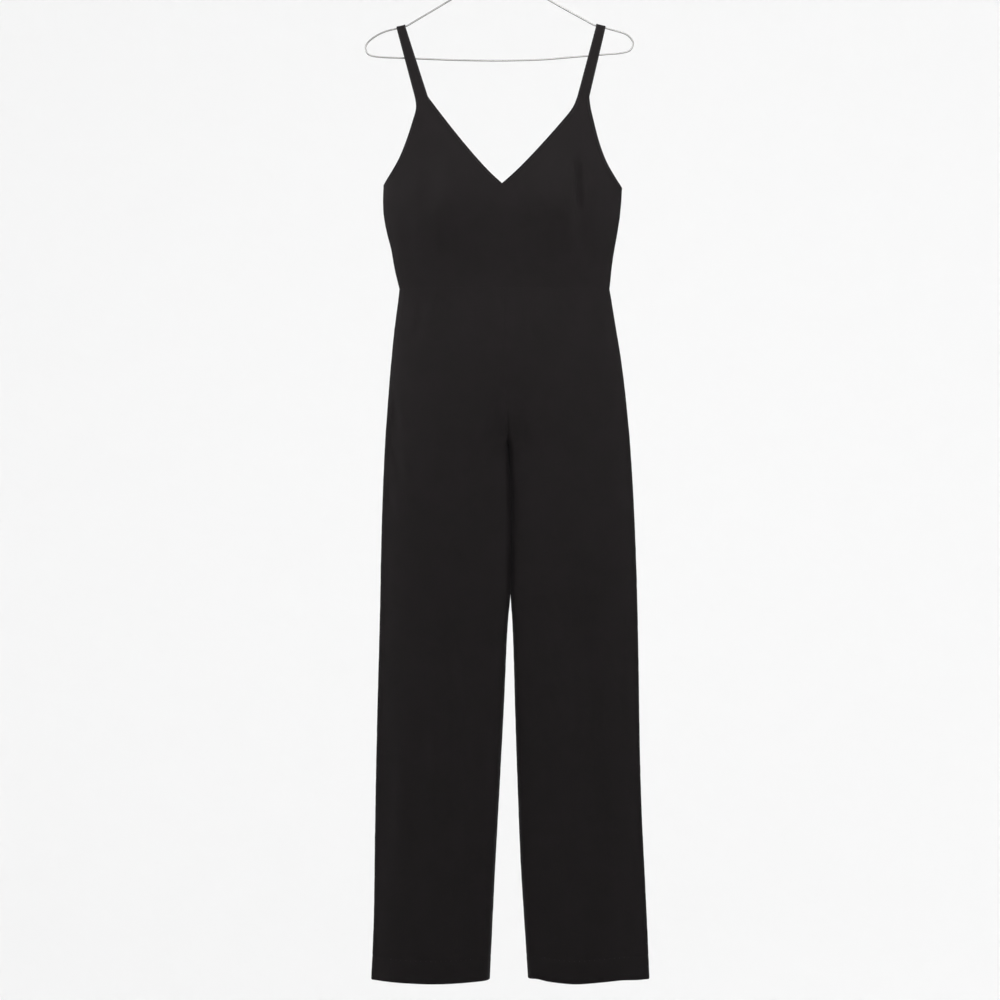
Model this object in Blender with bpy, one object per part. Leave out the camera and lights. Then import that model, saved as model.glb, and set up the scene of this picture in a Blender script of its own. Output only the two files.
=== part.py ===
"""A V-neck cami jumpsuit with straight legs, hung by its straps on a thin wire hanger.

Every length in the constants and tables is in millimetres. The origin is the underside of the hook's crown,
where a rail carries the hanger. +Z is up, the front of the garment faces -Y, and +X is to the right of
someone who looks at the front. Left and right in names are as that person sees them.

Each cloth panel is a wall of one thickness. Its outer points come from the tables of widths and depths, row by
row, and its inner points are the same ones moved in. Panels meet at their seams with a small gap.
"""
import math
from collections import namedtuple

import bmesh
import bpy
import numpy as np
from mathutils import Vector

MM = 0.001

# ---------------------------------------------------------------- driving sizes
WALL = 1.5                  # the cloth, with its seam allowances
SEAM_GAP = 0.3              # between two panels, and between a panel and what lies on it
STRAP_WALL = 1.6            # a strap is a folded strip
WIRE_RADIUS = 1.25
HOOK_RADIUS = 19.0          # inside the hook
APEX_Z = -75.0              # where the arms leave the neck of the hanger
STRAP_BASE_Z = -264.0       # where the straps are sewn to the bodice
V_POINT = (3.0, -396.0)     # the front neckline's lowest point
UNDERARM_LEFT = (-174.8, -394.5)
UNDERARM_RIGHT = (183.3, -399.0)
WAIST_Z = -550.5
CROTCH_Z = -787.0
FRONT_FALL_Z = -620.0       # the centre-front seam begins to fall back towards the crotch here
BACK_FALL_Z = -655.0
HEM_Z = -1584.0
HEM_DEPTH = 35.0            # height of the turned-up hem
HEM_TURN = 1.1              # thickness that the turned-up cloth adds inside
BACK_NECK_DROP = 12.0       # how much lower the back neckline's V is cut
BACK_ARM_EASE = 4.0         # how much further in the back armhole is cut
BACK_SLIT = 2.2             # half the gap at the top of the centre-back seam, for the zip's slider
BUST_LIFT = 9.0             # how far the darts push the front out at the fullest place
BUST_ACROSS = 96.0          # from the middle line to the fullest place
BUST_Z = -420.0
BUST_SPREAD = 46.0
BUST_HEIGHT = 52.0

# The shape of a panel from its side seam to the middle: a flat face that rounds off towards the seam. A leg
# is flatter than the body, and the change from one to the other is spread over the hips and thighs.
BODY_FLATNESS = 2.6
LEG_FLATNESS = 5.2
ROUNDNESS = 1.5
LEG_SHAPE_TOP_Z = -585.0
LEG_SHAPE_BOTTOM_Z = -980.0

# Mesh steps
BODICE_COLUMNS = 11
BODICE_ROWS = 8
HORN_ROWS = 8
TROUSER_COLUMNS = 11
HIP_ROWS = 9
LEG_ROWS = 19
STRAP_COLUMNS = 2
STRAP_RUN_STEPS = 6
STRAP_TURN_STEPS = 8

# ---------------------------------------------------------------- tables, from the top down
# Bodice below the arms: the two side seams, the middle line, and how far front and back stand out.
Torso = namedtuple("Torso", "z left middle right front back")
TORSO = [
    Torso(-264.0, -175.5, 2.0, 182.5, 13.0, 12.0),
    Torso(-330.0, -175.5, 2.5, 182.5, 22.0, 19.0),
    Torso(-396.0, -175.5, 3.0, 183.0, 30.0, 27.0),
    Torso(-417.0, -176.0, 3.2, 182.4, 31.0, 28.0),
    Torso(-441.0, -174.8, 3.4, 180.2, 31.0, 28.0),
    Torso(-465.0, -170.5, 3.6, 176.6, 29.0, 27.0),
    Torso(-489.0, -163.6, 3.9, 172.2, 27.0, 25.0),
    Torso(-513.0, -159.8, 4.2, 168.3, 24.0, 23.0),
    Torso(-537.0, -154.6, 4.4, 165.8, 22.0, 21.0),
    Torso(-550.5, -151.0, 4.5, 164.4, 21.0, 20.0),
]

# Front bodice above the arms: each side is a horn between its armhole and the neckline.
Horn = namedtuple("Horn", "z left_arm left_neck right_neck right_arm")
HORN = [
    Horn(-264.0, -127.6, -107.6, 115.4, 133.8),
    Horn(-276.0, -124.0, -98.8, 112.4, 134.4),
    Horn(-294.0, -128.9, -85.4, 98.4, 138.8),
    Horn(-330.0, -140.2, -57.6, 67.8, 147.6),
    Horn(-366.0, -155.8, -27.3, 35.0, 161.6),
    Horn(-384.0, -168.2, -11.0, 17.0, 172.8),
]

# Trousers: the outer side seams, the edges in the middle, and how far front and back stand out. The middle
# edges are one seam down to the crotch, and the two inside-leg seams below it.
Trouser = namedtuple("Trouser", "z left inner_left inner_right right front back")
TROUSER = [
    Trouser(-550.5, -151.0, 4.5, 4.5, 164.4, 21.0, 20.0),
    Trouser(-575.0, -153.6, 5.0, 5.0, 168.6, 23.5, 23.5),
    Trouser(-597.0, -156.9, 5.8, 5.8, 172.0, 25.5, 26.5),
    Trouser(-657.0, -163.2, 8.0, 8.0, 182.0, 28.5, 33.0),
    Trouser(-717.0, -168.2, 10.6, 10.6, 189.2, 29.5, 36.0),
    Trouser(-787.0, -173.0, 12.6, 12.6, 195.8, 29.5, 35.0),
    Trouser(-867.0, -176.5, 16.3, 16.8, 200.6, 29.0, 31.0),
    Trouser(-957.0, -179.0, 16.2, 17.0, 204.5, 28.0, 29.0),
    Trouser(-1017.0, -179.9, 14.8, 16.4, 206.2, 27.5, 28.0),
    Trouser(-1062.0, -181.0, 11.2, 18.8, 207.2, 27.0, 27.0),
    Trouser(-1137.0, -183.0, 8.2, 21.0, 208.5, 27.0, 27.0),
    Trouser(-1227.0, -185.3, 3.5, 23.6, 209.8, 27.0, 27.0),
    Trouser(-1317.0, -187.0, -1.2, 26.7, 212.0, 27.0, 27.0),
    Trouser(-1407.0, -188.4, -6.3, 30.3, 216.2, 27.5, 27.5),
    Trouser(-1497.0, -189.6, -10.7, 35.9, 220.7, 28.0, 28.0),
    Trouser(-1584.0, -193.4, -14.8, 41.5, 224.4, 28.5, 28.5),
]

# The largest soft folds: long troughs in the hanging cloth, on the front (side -1) or the back (side +1).
Fold = namedtuple("Fold", "side x_top z_top x_bottom z_bottom depth width")
FOLDS = [
    Fold(-1, -110.0, -345.0, -101.0, -470.0, 2.4, 8.0),
    Fold(-1, 121.0, -350.0, 138.0, -480.0, 3.0, 8.0),
    Fold(-1, -62.0, -980.0, -74.0, -1560.0, 2.2, 16.0),
    Fold(-1, 116.0, -1000.0, 141.0, -1450.0, 2.8, 17.0),
    Fold(-1, 150.0, -700.0, 132.0, -900.0, 1.8, 16.0),
    Fold(1, -88.0, -800.0, -104.0, -1300.0, 2.6, 17.0),
    Fold(1, 112.0, -830.0, 128.0, -1250.0, 2.6, 17.0),
    Fold(1, 104.0, -420.0, 96.0, -545.0, 2.2, 9.0),
    Fold(1, -96.0, -420.0, -88.0, -545.0, 2.2, 9.0),
]
FOLD_FADE = 0.3             # share of a fold's length over which it fades in at each end

# The hanger's wire, from the neck out to the tip and back to the bar.
Bend = namedtuple("Bend", "x z")
ARM_LEFT = [
    Bend(-1.6, -75.0), Bend(-8.0, -77.0), Bend(-74.2, -117.0), Bend(-128.0, -149.0), Bend(-142.5, -157.2),
    Bend(-153.5, -159.6), Bend(-174.0, -165.0), Bend(-193.5, -176.2), Bend(-201.6, -187.5),
    Bend(-198.0, -198.0), Bend(-186.0, -202.0), Bend(-147.2, -204.0),
]
ARM_RIGHT = [
    Bend(1.6, -75.0), Bend(8.0, -77.0), Bend(73.0, -117.0), Bend(128.0, -147.6), Bend(142.0, -155.0),
    Bend(155.4, -158.4), Bend(171.0, -162.6), Bend(190.5, -169.4), Bend(199.6, -181.0),
    Bend(195.6, -192.0), Bend(184.0, -196.2), Bend(159.2, -198.5),
]
BAR = [Bend(-146.8, -204.0), Bend(-70.0, -207.0), Bend(0.0, -208.0), Bend(63.0, -206.4), Bend(110.0, -202.6),
       Bend(158.8, -198.6)]
HOOK_ARC = (-60.0, 200.0)    # the hook's arc, in degrees from +X, up and over to the tip
STEM_TOP_Z = -56.0
BEND_STEPS = 3

# Straps: where each lies over the wire, and its width there
Strap = namedtuple("Strap", "side x_wire width_wire")
STRAP_LEFT = Strap("left", -148.5, 13.1)
STRAP_RIGHT = Strap("right", 151.2, 13.9)

# Closure in the centre-back seam
ZIP_TAPE_WIDTH = 24.0
ZIP_TAPE_WALL = 1.0
ZIP_BOTTOM_Z = -694.0
ZIP_ROWS = 10
SLIDER_TOP_Z = -405.5
SLIDER_SIZE = (8.0, 2.2, 13.0)
SLIDER_NECK = (2.0, 3.2)    # width and height of what passes between the panels
PIVOT_Z = -410.0            # the pull's hinge axis, along X
PIVOT_CLEAR = 3.5           # from the cloth's outer face to the axis
EYE_OUTER = 2.8             # the slider's eye round the pull's bar
EYE_INNER = 1.3
EYE_WIDTH = 2.4
EYE_POINTS = 16
PULL_BAR = 0.75             # half the height of the pull's bar above its axis
PULL_THICKNESS = 1.2
PULL_WINDOW = (3.8, 2.95)   # width and depth of the opening under the bar
PULL_WIDTH = 6.6
PULL_LENGTH = 21.0
PULL_ROUND_POINTS = 10

BLACK_CREPE = ("black_crepe", (0.0185, 0.0176, 0.0178), 0.86, 0.0)
BLACK_TAPE = ("black_zip_tape", (0.012, 0.012, 0.012), 0.75, 0.0)
BLACK_METAL = ("black_zip_metal", (0.03, 0.03, 0.03), 0.38, 0.8)
STEEL_WIRE = ("hanger_wire", (0.55, 0.55, 0.54), 0.3, 1.0)


# ---------------------------------------------------------------- small helpers
def read(table, z):
    """The row of a table at a height, on a smooth curve through the rows, which run from the top down."""
    down = np.array([-row.z for row in table])
    values = np.array(table, float)
    slopes = np.gradient(values, down, axis=0)
    i = int(np.clip(np.searchsorted(down, -z) - 1, 0, len(table) - 2))
    span = down[i + 1] - down[i]
    t = (-z - down[i]) / span
    start = (1 + 2 * t) * (1 - t) ** 2 * values[i] + t * (1 - t) ** 2 * span * slopes[i]
    end = t * t * (3 - 2 * t) * values[i + 1] - t * t * (1 - t) * span * slopes[i + 1]
    return type(table[0])(*(start + end))


def blend(a, b, share):
    return a + (b - a) * share


def ease(share):
    """0 to 1 with a soft start and end."""
    s = min(max(share, 0.0), 1.0)
    return s * s * (3 - 2 * s)


def half_hump(t, flatness=BODY_FLATNESS):
    """Profile from the side seam (0) to the middle (1) of a panel that covers half the body."""
    return (1 - (1 - t) ** flatness) ** (1 / ROUNDNESS)


def leg_hump(t, z, middle):
    """Profile of a trouser panel, whose edge in the middle (1) stands out by a share of the depth."""
    down = ease((LEG_SHAPE_TOP_Z - z) / (LEG_SHAPE_TOP_Z - LEG_SHAPE_BOTTOM_Z))
    towards_middle = blend((1 - t ** LEG_FLATNESS) ** (1 / ROUNDNESS), 1.0, middle)
    return half_hump(t, blend(BODY_FLATNESS, LEG_FLATNESS, down)) * towards_middle


def fold_depth(side, x, z):
    """How far the folds press the cloth in at a place of the front or the back."""
    total = 0.0
    for fold in FOLDS:
        along = (z - fold.z_top) / (fold.z_bottom - fold.z_top)
        if fold.side != side or not 0 < along < 1:
            continue
        off = (x - blend(fold.x_top, fold.x_bottom, along)) / fold.width
        fade = ease(along / FOLD_FADE) * ease((1 - along) / FOLD_FADE)
        total += fold.depth * fade * math.exp(-off * off)
    return total


def bust(x, z):
    across = (abs(x) - BUST_ACROSS) / BUST_SPREAD
    up = (z - BUST_Z) / BUST_HEIGHT
    return BUST_LIFT * math.exp(-across * across - up * up)


def bodice_y(side, x, z):
    """The outer face of the bodice at a place: side -1 is the front and +1 the back."""
    row = read(TORSO, z)
    edge = row.left if x < row.middle else row.right
    t = min(max((x - edge) / (row.middle - edge), 0.0), 1.0)
    depth = row.front if side < 0 else row.back
    out = depth * half_hump(t)
    near_seam = min(out / depth, 1.0)
    if side < 0:
        out += bust(x, z) * near_seam
    out -= fold_depth(side, x, z) * near_seam
    return side * (SEAM_GAP / 2 + out)


def inward_normals(line):
    """For points along a row, the directions in XY across the row, towards +Y for a row that runs to +X."""
    steps = np.diff(line[:, :2], axis=0)
    steps /= np.linalg.norm(steps, axis=1)[:, None]
    tangent = np.vstack([steps[:1], steps[:-1] + steps[1:], steps[-1:]])
    tangent /= np.linalg.norm(tangent, axis=1)[:, None]
    return np.stack([-tangent[:, 1], tangent[:, 0]], axis=1)


def thicken(line, side, start, end, wall=WALL):
    """Pairs of outer and inner points for a row.

    start and end say how the wall is cut at the row's two ends: "seam" in the plane between front and back,
    "middle" in the upright plane between left and right, or "edge" square to the cloth.
    """
    line = np.array(line, float)
    runs_right = 1 if line[-1, 0] > line[0, 0] else -1
    normals = inward_normals(line) * runs_right * -side
    for i, cut in ((0, start), (-1, end)):
        if cut == "seam":
            towards = np.sign(line[len(line) // 2, 0] - line[i, 0])
            normals[i] = (towards / max(abs(normals[i][0]), 0.6), 0.0)
        elif cut == "middle":
            normals[i] = (0.0, -side)
    inner = line.copy()
    inner[:, :2] += normals * wall
    return list(zip(line, inner))


def cloth(name, patches, finish):
    """One closed wall from patches, each a grid of rows of (outer, inner) pairs. Patches share border points."""
    index = {}
    outer, inner, quads = [], [], []

    def number(pair):
        key = tuple(round(float(c), 4) for c in pair[0])
        if key not in index:
            index[key] = len(outer)
            outer.append(pair[0])
            inner.append(pair[1])
        return index[key]

    for grid in patches:
        numbers = [[number(pair) for pair in row] for row in grid]
        for a, b in zip(numbers, numbers[1:]):
            quads += [(a[j], a[j + 1], b[j + 1], b[j]) for j in range(len(a) - 1)]
    edges = [side for quad in quads for side in zip(quad, quad[1:] + quad[:1])]
    inside = set(edges)
    border = [(p, q) for p, q in edges if (q, p) not in inside]
    count = len(outer)
    faces = list(quads)
    faces += [tuple(i + count for i in reversed(quad)) for quad in quads]
    faces += [(q, p, p + count, q + count) for p, q in border]
    bm = bmesh.new()
    verts = [bm.verts.new(Vector(p) * MM) for p in outer + inner]
    for face in faces:
        bm.faces.new([verts[i] for i in face])
    return finished(name, bm, finish)


def material(finish):
    name, colour, roughness, metallic = finish
    if name in bpy.data.materials:
        return bpy.data.materials[name]
    made = bpy.data.materials.new(name)
    made.use_nodes = True
    shader = made.node_tree.nodes["Principled BSDF"]
    shader.inputs["Base Color"].default_value = (*colour, 1.0)
    shader.inputs["Roughness"].default_value = roughness
    shader.inputs["Metallic"].default_value = metallic
    made.diffuse_color = (*colour, 1.0)
    return made


def finished(name, bm, finish):
    """Turns a bmesh into a named object with its faces out, smooth where it is round."""
    bmesh.ops.recalc_face_normals(bm, faces=bm.faces)
    mesh = bpy.data.meshes.new(name)
    bm.to_mesh(mesh)
    bm.free()
    mesh.shade_smooth()
    mesh.set_sharp_from_angle(angle=math.radians(40))
    mesh.materials.append(material(finish))
    made = bpy.data.objects.new(name, mesh)
    bpy.context.collection.objects.link(made)
    return made


def smooth_route(bends, steps=BEND_STEPS):
    """Points on a smooth curve through a wire's bends, with more points where there are more bends."""
    p = [Vector((b.x, 0.0, b.z)) for b in bends]
    p = [2 * p[0] - p[1]] + p + [2 * p[-1] - p[-2]]
    route = []
    for a, b, c, d in zip(p, p[1:], p[2:], p[3:]):
        tangent_b = (c - a) * ((c - b).length / ((c - b).length + (b - a).length))
        tangent_c = (d - b) * ((c - b).length / ((c - b).length + (d - c).length))
        for i in range(steps):
            t = i / steps
            route.append(
                b * (1 + 2 * t) * (1 - t) ** 2 + tangent_b * t * (1 - t) ** 2
                + c * t * t * (3 - 2 * t) - tangent_c * t * t * (1 - t)
            )
    return route + [p[-2]]


def wire(name, route):
    """A length of the hanger's wire along a route, as a curve with a round bevel and closed ends."""
    curve = bpy.data.curves.new(name, "CURVE")
    curve.dimensions = "3D"
    curve.bevel_depth = WIRE_RADIUS * MM
    curve.bevel_resolution = 2
    curve.use_fill_caps = True
    spline = curve.splines.new("POLY")
    spline.points.add(len(route) - 1)
    for point, place in zip(spline.points, route):
        point.co = (*(Vector(place) * MM), 1.0)
    curve.materials.append(material(STEEL_WIRE))
    made = bpy.data.objects.new(name, curve)
    bpy.context.collection.objects.link(made)
    return made


# ---------------------------------------------------------------- bodice
def horn_row(side, z):
    """The edges of the horns at a height. The back's are cut a little inside the front's, but for their tops."""
    row = read(HORN, z)
    if side < 0:
        return row
    down = (STRAP_BASE_Z - z) / (STRAP_BASE_Z - V_POINT[1])
    neck = BACK_NECK_DROP * down
    arm = BACK_ARM_EASE * math.sin(math.pi * min(down, 1.0))
    return Horn(z, row.left_arm + arm, row.left_neck - neck, row.right_neck + neck, row.right_arm - arm)


def neck_point(side):
    """The lowest point of the neckline: x and z."""
    x, z = V_POINT
    return (x, z) if side < 0 else (x, z - BACK_NECK_DROP)


def bodice_columns():
    """Shares from the side to the middle, closer together near the side, where the cloth turns."""
    return [(j / BODICE_COLUMNS) ** 1.2 for j in range(BODICE_COLUMNS + 1)]


def bodice_half(side, hand, open_middle):
    """Rows of the left or right half of the front or back, from the waist to the strap. A row is a list of
    pairs from the side seam or armhole to the middle or neckline. open_middle parts the two halves."""
    out = -1 if hand == "left" else 1
    corner = UNDERARM_LEFT if hand == "left" else UNDERARM_RIGHT
    neck_x, neck_z = neck_point(side)
    waist_z = WAIST_Z + SEAM_GAP / 2
    rows = []
    for i in range(BODICE_ROWS + 1):
        up = i / BODICE_ROWS
        line = []
        for t in bodice_columns():
            z = blend(waist_z, blend(corner[1], neck_z, t), up)
            row = read(TORSO, z)
            edge = row.left if hand == "left" else row.right
            if i == BODICE_ROWS:
                edge = corner[0]
            middle = row.middle
            if open_middle:
                middle += out * (BACK_SLIT if i == BODICE_ROWS else SEAM_GAP / 2)
            x = blend(edge, middle, t)
            y = side * SEAM_GAP / 2 if t == 0 else bodice_y(side, x, z)
            line.append((x, y, z))
        last = "edge" if i == BODICE_ROWS and open_middle else "middle"
        rows.append(thicken(line, side, "seam", last))
    for i in range(1, HORN_ROWS + 1):
        up = i / HORN_ROWS
        line = []
        for t in bodice_columns():
            z = blend(blend(corner[1], neck_z, t), STRAP_BASE_Z, up)
            row = horn_row(side, max(min(z, STRAP_BASE_Z), HORN[-1].z))
            arm, neck = (row.left_arm, row.left_neck) if hand == "left" else (row.right_arm, row.right_neck)
            if z < HORN[-1].z:
                low = (z - HORN[-1].z) / (blend(corner[1], neck_z, t) - HORN[-1].z)
                slit = BACK_SLIT if open_middle else 0.0
                arm = blend(arm, corner[0], low)
                neck = blend(neck, neck_x + out * slit, low)
            x = blend(arm, neck, t)
            line.append((x, bodice_y(side, x, z), z))
        rows.append(thicken(line, side, "edge", "edge"))
    return rows


def build_bodice():
    front = [bodice_half(-1, "left", False), bodice_half(-1, "right", False)]
    cloth("bodice_front", [front[0], [row[::-1] for row in front[1]]], BLACK_CREPE)
    for hand in ("left", "right"):
        cloth(f"bodice_back_{hand}", [bodice_half(1, hand, True)], BLACK_CREPE)


# ---------------------------------------------------------------- trousers
def middle_share(side, z):
    """How far out the middle seam stands: 1 flush with the panels, down a round curve to 0 at the crotch."""
    fall = FRONT_FALL_Z if side < 0 else BACK_FALL_Z
    up = min(max((z - CROTCH_Z) / (fall - CROTCH_Z), 0.0), 1.0)
    return math.sqrt(1 - (1 - up) ** 2)


def trouser_columns():
    """Shares from the side to the middle, closer together at both ends."""
    even = [j / TROUSER_COLUMNS for j in range(TROUSER_COLUMNS + 1)]
    return [blend(s, (1 - math.cos(math.pi * s)) / 2, 0.6) for s in even]


def trouser_heights():
    top = WAIST_Z - SEAM_GAP / 2
    hem_top = HEM_Z + HEM_DEPTH
    hips = [blend(top, CROTCH_Z, i / HIP_ROWS) for i in range(HIP_ROWS)]
    legs = [blend(CROTCH_Z, hem_top, i / LEG_ROWS) for i in range(LEG_ROWS + 1)]
    return hips + legs + [hem_top - 2.0, blend(hem_top, HEM_Z, 0.5), HEM_Z]


def trouser_y(side, row, x, t):
    """The outer face of a trouser panel at a share of its width."""
    depth = row.front if side < 0 else row.back
    hump = leg_hump(t, row.z, middle_share(side, row.z))
    out = depth * hump - fold_depth(side, x, row.z) * min(1.0, 1.5 * hump)
    return side * (SEAM_GAP / 2 + out)


def trouser_quarter(side, hand):
    """Rows of one panel, from the waist to the hem, each from the side seam to the middle or inside-leg seam."""
    rows = []
    for z in trouser_heights():
        row = read(TROUSER, z)
        if hand == "left":
            outer, inner = row.left, row.inner_left - SEAM_GAP / 2
        else:
            outer, inner = row.right, row.inner_right + SEAM_GAP / 2
        across = [(blend(outer, inner, t), t) for t in trouser_columns()]
        line = [(x, trouser_y(side, row, x, t), z) for x, t in across]
        share = middle_share(side, z)
        wall = WALL + (HEM_TURN if z < HEM_Z + HEM_DEPTH - 1.0 else 0.0)
        last = "middle" if share > 0.99 else "edge" if share > 0.0 else "seam"
        rows.append(thicken(line, side, "seam", last, wall))
    return rows


def build_trousers():
    for place, side in (("front", -1), ("back", 1)):
        for hand in ("left", "right"):
            cloth(f"trouser_{place}_{hand}", [trouser_quarter(side, hand)], BLACK_CREPE)


# ---------------------------------------------------------------- straps
def strap_columns(strap):
    """For each line along a strap, its x at the bodice and at the wire, and the wire's height there."""
    row = read(HORN, STRAP_BASE_Z)
    arm, neck = (row.left_arm, row.left_neck) if strap.side == "left" else (row.right_arm, row.right_neck)
    route = smooth_route(ARM_LEFT if strap.side == "left" else ARM_RIGHT)
    upper = sorted((abs(p.x), p.z) for p in route[: len(route) * 2 // 3])
    columns = []
    for j in range(STRAP_COLUMNS + 1):
        across = blend(-0.5, 0.5, j / STRAP_COLUMNS)
        x_wire = strap.x_wire + across * strap.width_wire
        x_base = blend(min(arm, neck), max(arm, neck), 0.5 + across * 0.98)
        z_wire = float(np.interp(abs(x_wire), *zip(*upper)))
        columns.append((x_base, x_wire, z_wire))
    return columns


def strap_line(x_base, x_wire, z_wire):
    """The middle of a strap's thickness along one line, from the front bodice, over the wire, to the back."""
    turn = WIRE_RADIUS + SEAM_GAP + STRAP_WALL / 2
    runs = []
    for side in (-1, 1):
        foot_y = bodice_y(side, x_base, STRAP_BASE_Z) - side * WALL / 2
        foot = np.array((x_base, foot_y, STRAP_BASE_Z + SEAM_GAP))
        top = np.array((x_wire, side * turn, z_wire))
        runs.append([blend(foot, top, i / STRAP_RUN_STEPS) for i in range(STRAP_RUN_STEPS)])
    over = []
    for i in range(STRAP_TURN_STEPS + 1):
        angle = math.pi * i / STRAP_TURN_STEPS
        over.append(np.array((x_wire, -turn * math.cos(angle), z_wire + turn * math.sin(angle))))
    return runs[0] + over + runs[1][::-1]


def build_strap(strap):
    lines = np.array([strap_line(*column) for column in strap_columns(strap)])
    along = np.gradient(lines, axis=1)
    across = np.gradient(lines, axis=0)
    normal = np.cross(across, along)
    normal /= np.linalg.norm(normal, axis=2)[..., None]
    inner = lines - normal * STRAP_WALL / 2
    outer = lines + normal * STRAP_WALL / 2
    grid = [[(outer[j, i], inner[j, i]) for j in range(lines.shape[0])] for i in range(lines.shape[1])]
    cloth(f"strap_{strap.side}", [grid], BLACK_CREPE)


# ---------------------------------------------------------------- hanger
def hook_route():
    """The neck's stem, a soft bend to one side, and the arc over the crown, whose inside is at the origin."""
    radius = HOOK_RADIUS + WIRE_RADIUS
    start, end = (math.radians(a) for a in HOOK_ARC)

    def on_arc(angle):
        return Vector((radius * math.cos(angle), 0.0, radius * math.sin(angle) - HOOK_RADIUS))

    stem_foot = Vector((0.0, 0.0, APEX_Z - WIRE_RADIUS))
    stem_top = Vector((0.0, 0.0, STEM_TOP_Z))
    arc_start = on_arc(start)
    leave = Vector((-math.sin(start), 0.0, math.cos(start)))
    handles = (stem_top, stem_top + Vector((0, 0, 12.0)), arc_start - leave * 9.0, arc_start)
    bend = []
    for i in range(6):
        t = i / 6
        weights = ((1 - t) ** 3, 3 * t * (1 - t) ** 2, 3 * t * t * (1 - t), t ** 3)
        bend.append(sum((h * w for h, w in zip(handles, weights)), Vector()))
    arc = [on_arc(blend(start, end, i / 16)) for i in range(17)]
    return [stem_foot] + bend + arc


def build_hanger():
    wire("hanger_hook", hook_route())
    wire("hanger_arm_left", smooth_route(ARM_LEFT))
    wire("hanger_arm_right", smooth_route(ARM_RIGHT))
    wire("hanger_bar", smooth_route(BAR, 2))


# ---------------------------------------------------------------- closure
def back_middle(z):
    """x of the centre-back seam."""
    return read(TORSO, z).middle if z > WAIST_Z else read(TROUSER, z).inner_left


def back_y(x, z):
    """The outer face of the back near its middle."""
    if z > WAIST_Z:
        return bodice_y(1, x, z)
    row = read(TROUSER, z)
    edge = row.left if x < row.inner_left else row.right
    t = min((x - edge) / (row.inner_left - edge), 1.0)
    return trouser_y(1, row, x, t)


def build_zip_tape():
    """A flat tape behind the seam, from just under the slider to the stop."""
    top = SLIDER_TOP_Z - SLIDER_SIZE[2] - SEAM_GAP
    half = ZIP_ROWS // 2
    heights = [blend(top, WAIST_Z, i / half) for i in range(half)]
    heights += [blend(WAIST_Z, ZIP_BOTTOM_Z, i / half) for i in range(half + 1)]
    rows = []
    for z in heights:
        row = []
        for across in (-0.5, 0.0, 0.5):
            x = back_middle(z) + across * ZIP_TAPE_WIDTH
            y = back_y(x, z) - WALL - 2 * SEAM_GAP
            row.append((np.array((x, y, z)), np.array((x, y - ZIP_TAPE_WALL, z))))
        rows.append(row)
    cloth("zip_tape", [rows], BLACK_TAPE)


def pivot():
    """The hinge of the pull, just outside the cloth at the top of the seam."""
    x = back_middle(PIVOT_Z)
    return Vector((x, back_y(x + BACK_SLIT, PIVOT_Z) + PIVOT_CLEAR, PIVOT_Z))


def prism(name, loops, low, high, place, finish):
    """A closed solid between two planes: loops are an outer outline and, where there is one, its opening,
    both with the same number of points. place turns an outline's point and a depth into a position."""
    bm = bmesh.new()
    rings = [[[bm.verts.new(place(a, b, depth)) for a, b in loop] for depth in (low, high)] for loop in loops]
    for ring in rings:
        count = len(ring[0])
        for i in range(count):
            j = (i + 1) % count
            bm.faces.new((ring[0][i], ring[0][j], ring[1][j], ring[1][i]))
    for level in (0, 1):
        if len(rings) == 1:
            bm.faces.new(rings[0][level])
            continue
        outer, opening = rings[0][level], rings[1][level]
        for i in range(len(outer)):
            j = (i + 1) % len(outer)
            bm.faces.new((outer[i], outer[j], opening[j], opening[i]))
    return finished(name, bm, finish)


def joined(base, piece):
    """Adds a piece to a base with a Boolean union."""
    union = base.modifiers.new("union", "BOOLEAN")
    union.operation = "UNION"
    union.object = piece
    piece.hide_render = True
    piece.display_type = "WIRE"


def build_slider():
    """A plate inside the back, and an eye outside it, joined by a neck through the slit of the seam."""
    centre = pivot()
    cloth_out = centre.y - PIVOT_CLEAR
    plate_out = cloth_out - WALL - 2 * SEAM_GAP
    width, thickness, height = SLIDER_SIZE

    def lying(a, b, depth):
        return Vector((centre.x + a, depth, b)) * MM

    plate = [(-width / 2, SLIDER_TOP_Z - height), (width / 2, SLIDER_TOP_Z - height),
             (width / 2, SLIDER_TOP_Z), (-width / 2, SLIDER_TOP_Z)]
    base = prism("zip_slider", [plate], plate_out - thickness, plate_out, lying, BLACK_METAL)
    neck_w, neck_h = SLIDER_NECK
    neck = [(-neck_w / 2, PIVOT_Z - neck_h / 2), (neck_w / 2, PIVOT_Z - neck_h / 2),
            (neck_w / 2, PIVOT_Z + neck_h / 2), (-neck_w / 2, PIVOT_Z + neck_h / 2)]
    neck_piece = prism("slider_neck_tool", [neck], plate_out - thickness / 2,
                       centre.y - (EYE_OUTER + EYE_INNER) / 2, lying, BLACK_METAL)

    def upright(a, b, depth):
        return (centre + Vector((depth, a, b))) * MM

    turns = [2 * math.pi * (i + 0.5) / EYE_POINTS for i in range(EYE_POINTS)]
    loops = [[(r * math.cos(a), r * math.sin(a)) for a in turns] for r in (EYE_OUTER, EYE_INNER)]
    eye = prism("slider_eye_tool", loops, -EYE_WIDTH / 2, EYE_WIDTH / 2, upright, BLACK_METAL)
    joined(base, neck_piece)
    joined(base, eye)


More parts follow.
